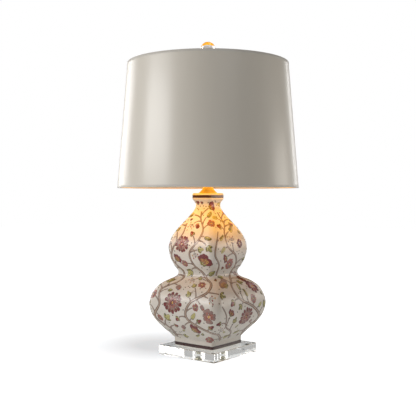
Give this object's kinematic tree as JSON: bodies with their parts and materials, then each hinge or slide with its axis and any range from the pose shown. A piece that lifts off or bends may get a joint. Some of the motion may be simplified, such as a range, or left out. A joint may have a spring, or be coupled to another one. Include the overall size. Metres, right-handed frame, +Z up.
{
  "type": "table lamp",
  "caption": "Table lamp with a square double gourd porcelain body on a clear block, a turn-knob socket, a harp and a tapered drum shade with a ball finial.",
  "frame": {"origin": "centre of the footprint, on the table top", "axes": "+Z up; the gourd's flat sides and the base's sides face along X and Y; the harp stands in the XZ plane; the knob points to -Y and the cord bushing to +Y"},
  "size_m": [0.4071, 0.407, 0.7028],
  "materials": {
    "clear_acrylic": "polished clear cast acrylic",
    "pad_rubber": "translucent soft bumper pads",
    "plated_steel": "zinc-plated steel hardware",
    "painted_porcelain": "warm white glossy glaze with a fine crackle, brown bands at foot and rim",
    "black_nylon": "moulded bushing",
    "antique_brass": "satin antique brass",
    "bright_brass": "polished brass",
    "phenolic": "moulded phenolic",
    "fibre_liner": "insulating fibre sleeve",
    "nickel": "nickel-plated bulb base",
    "bulb_black_glass": "fused insulator",
    "lit_bulb_glass": "frosted, lit",
    "stem_glass": "clear glass mount",
    "filament_wire": "glowing coil and its leads",
    "shade_paper": "opaque laminated hard-back shade, semi-gloss off-white",
    "gold_foil": "metallic gold foil paper",
    "edge_tape": "folded edge tape",
    "white_wire": "white coated wire",
    "crystal": "clear polished crystal"
  },
  "bodies": {
    "stand": {"base_block": "clear_acrylic", "base_pads": "pad_rubber", "base_washer": "plated_steel", "base_nut": "plated_steel", "lamp_pipe": "plated_steel", "gourd_body": "painted_porcelain", "cord_bushing": "black_nylon", "vase_cap": "antique_brass", "neck_tube": "antique_brass", "harp_saddle": "antique_brass", "saddle_locknut": "plated_steel", "socket_cap": "antique_brass", "socket_set_screw": "plated_steel", "socket_shell": "antique_brass", "socket_liner": "fibre_liner", "switch_body": "phenolic", "terminal_screws": "bright_brass", "screw_shell": "bright_brass", "centre_contact": "bright_brass"},
    "switch": {"switch_stem": "bright_brass", "switch_knob": "phenolic"},
    "bulb": {"bulb_contact": "bright_brass", "bulb_insulator": "bulb_black_glass", "bulb_base": "nickel", "bulb_glass": "lit_bulb_glass", "bulb_stem": "stem_glass", "bulb_filament": "filament_wire"},
    "harp": {"harp_wire": "antique_brass", "harp_stud": "antique_brass"},
    "left_sleeve": {"harp_sleeve_left": "antique_brass"},
    "right_sleeve": {"harp_sleeve_right": "antique_brass"},
    "shade": {"spider_hub": "antique_brass", "spider_arms": "white_wire", "shade_shell": "shade_paper", "shade_lining": "gold_foil", "shade_top_trim": "edge_tape", "shade_bottom_trim": "edge_tape", "shade_top_ring": "white_wire", "shade_bottom_ring": "white_wire"},
    "finial": {"finial_base": "antique_brass", "finial_ball": "crystal"}
  },
  "joints": [
    {"name": "switch_turn", "type": "hinge", "parent": "stand", "child": "switch", "pos_m": [0, -0.0202, 0.4391], "axis": [0, -1, 0], "continuous": true},
    {"name": "bulb_unscrew", "type": "slide", "parent": "stand", "child": "bulb", "axis": [0, 0, 1], "range_m": [0, 0.03]},
    {"name": "harp_lift", "type": "slide", "parent": "stand", "child": "harp", "axis": [0, 0, 1], "range_m": [0, 0.03]},
    {"name": "left_sleeve_slide", "type": "slide", "parent": "harp", "child": "left_sleeve", "axis": [0, 0, 1], "range_m": [0, 0.012]},
    {"name": "right_sleeve_slide", "type": "slide", "parent": "harp", "child": "right_sleeve", "axis": [0, 0, 1], "range_m": [0, 0.012]},
    {"name": "shade_swivel", "type": "hinge", "parent": "harp", "child": "shade", "pos_m": [0, 0, 0.6436], "axis": [0, 0, 1], "continuous": true},
    {"name": "finial_unscrew", "type": "slide", "parent": "harp", "child": "finial", "axis": [0, 0, 1], "range_m": [0, 0.016]}
  ]
}
